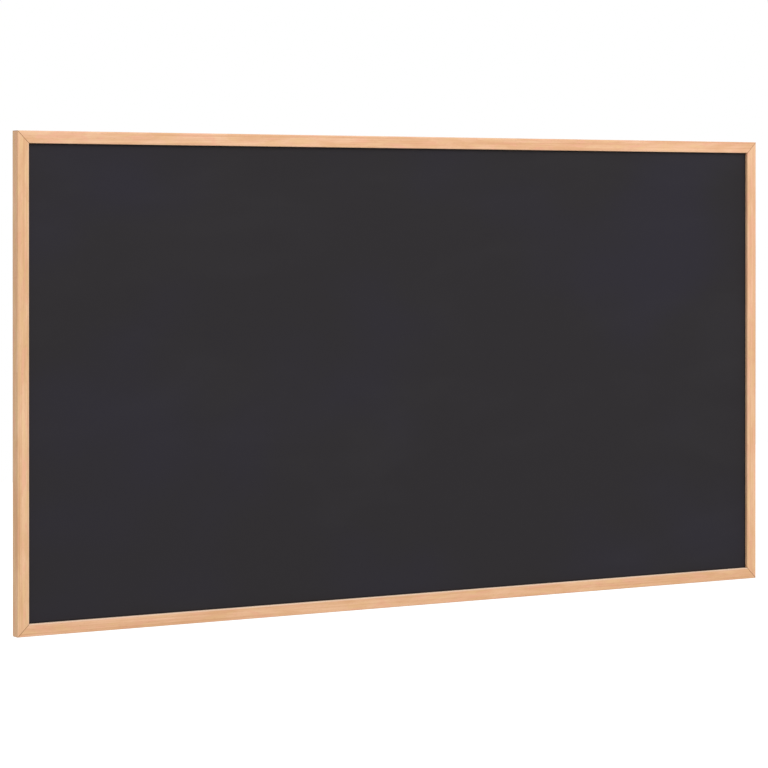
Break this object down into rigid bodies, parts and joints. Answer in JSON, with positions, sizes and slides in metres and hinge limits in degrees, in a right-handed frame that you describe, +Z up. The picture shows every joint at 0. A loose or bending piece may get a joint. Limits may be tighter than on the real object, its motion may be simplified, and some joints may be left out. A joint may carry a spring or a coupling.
{
  "type": "wall chalkboard",
  "caption": "Wide wall-hung chalkboard: slim light wooden frame with mitred corners, matt black writing panel set back in it, and swinging D-ring hangers behind.",
  "frame": {"origin": "in the wall's plane, behind the middle of the board", "axes": "+X to the right along the board, +Y into the wall (the writing face looks along -Y), +Z up"},
  "size_m": [1.1, 0.0195, 0.6],
  "materials": {
    "frame_wood": "light wood, sanded and clear lacquered, satin",
    "chalk_coating": "matt black chalk coating",
    "fibreboard": "raw fibreboard",
    "backing_foil": "thin dull backing foil",
    "zinc_steel": "bright zinc plated",
    "bumper_rubber": "matt rubber"
  },
  "bodies": {
    "board": {"top_rail": "frame_wood", "bottom_rail": "frame_wood", "left_stile": "frame_wood", "right_stile": "frame_wood", "writing_sheet": "chalk_coating", "panel_core": "fibreboard", "backing_sheet": "backing_foil", "corner_nail_top_left": "zinc_steel", "corner_nail_top_right": "zinc_steel", "corner_nail_bottom_right": "zinc_steel", "corner_nail_bottom_left": "zinc_steel", "left_hanger_strap": "zinc_steel", "left_hanger_screw_1": "zinc_steel", "left_hanger_screw_2": "zinc_steel", "right_hanger_strap": "zinc_steel", "right_hanger_screw_1": "zinc_steel", "right_hanger_screw_2": "zinc_steel", "left_wall_bumper": "bumper_rubber", "right_wall_bumper": "bumper_rubber"},
    "left_ring": {"left_hanger_ring": "zinc_steel"},
    "right_ring": {"right_hanger_ring": "zinc_steel"}
  },
  "joints": [
    {"name": "left_ring_swing", "type": "hinge", "parent": "board", "child": "left_ring", "pos_m": [-0.5415, -0.0025, 0.238], "axis": [1, 0, 0], "range_deg": [0, 180]},
    {"name": "right_ring_swing", "type": "hinge", "parent": "board", "child": "right_ring", "pos_m": [0.5415, -0.0025, 0.238], "axis": [1, 0, 0], "range_deg": [0, 180]}
  ]
}
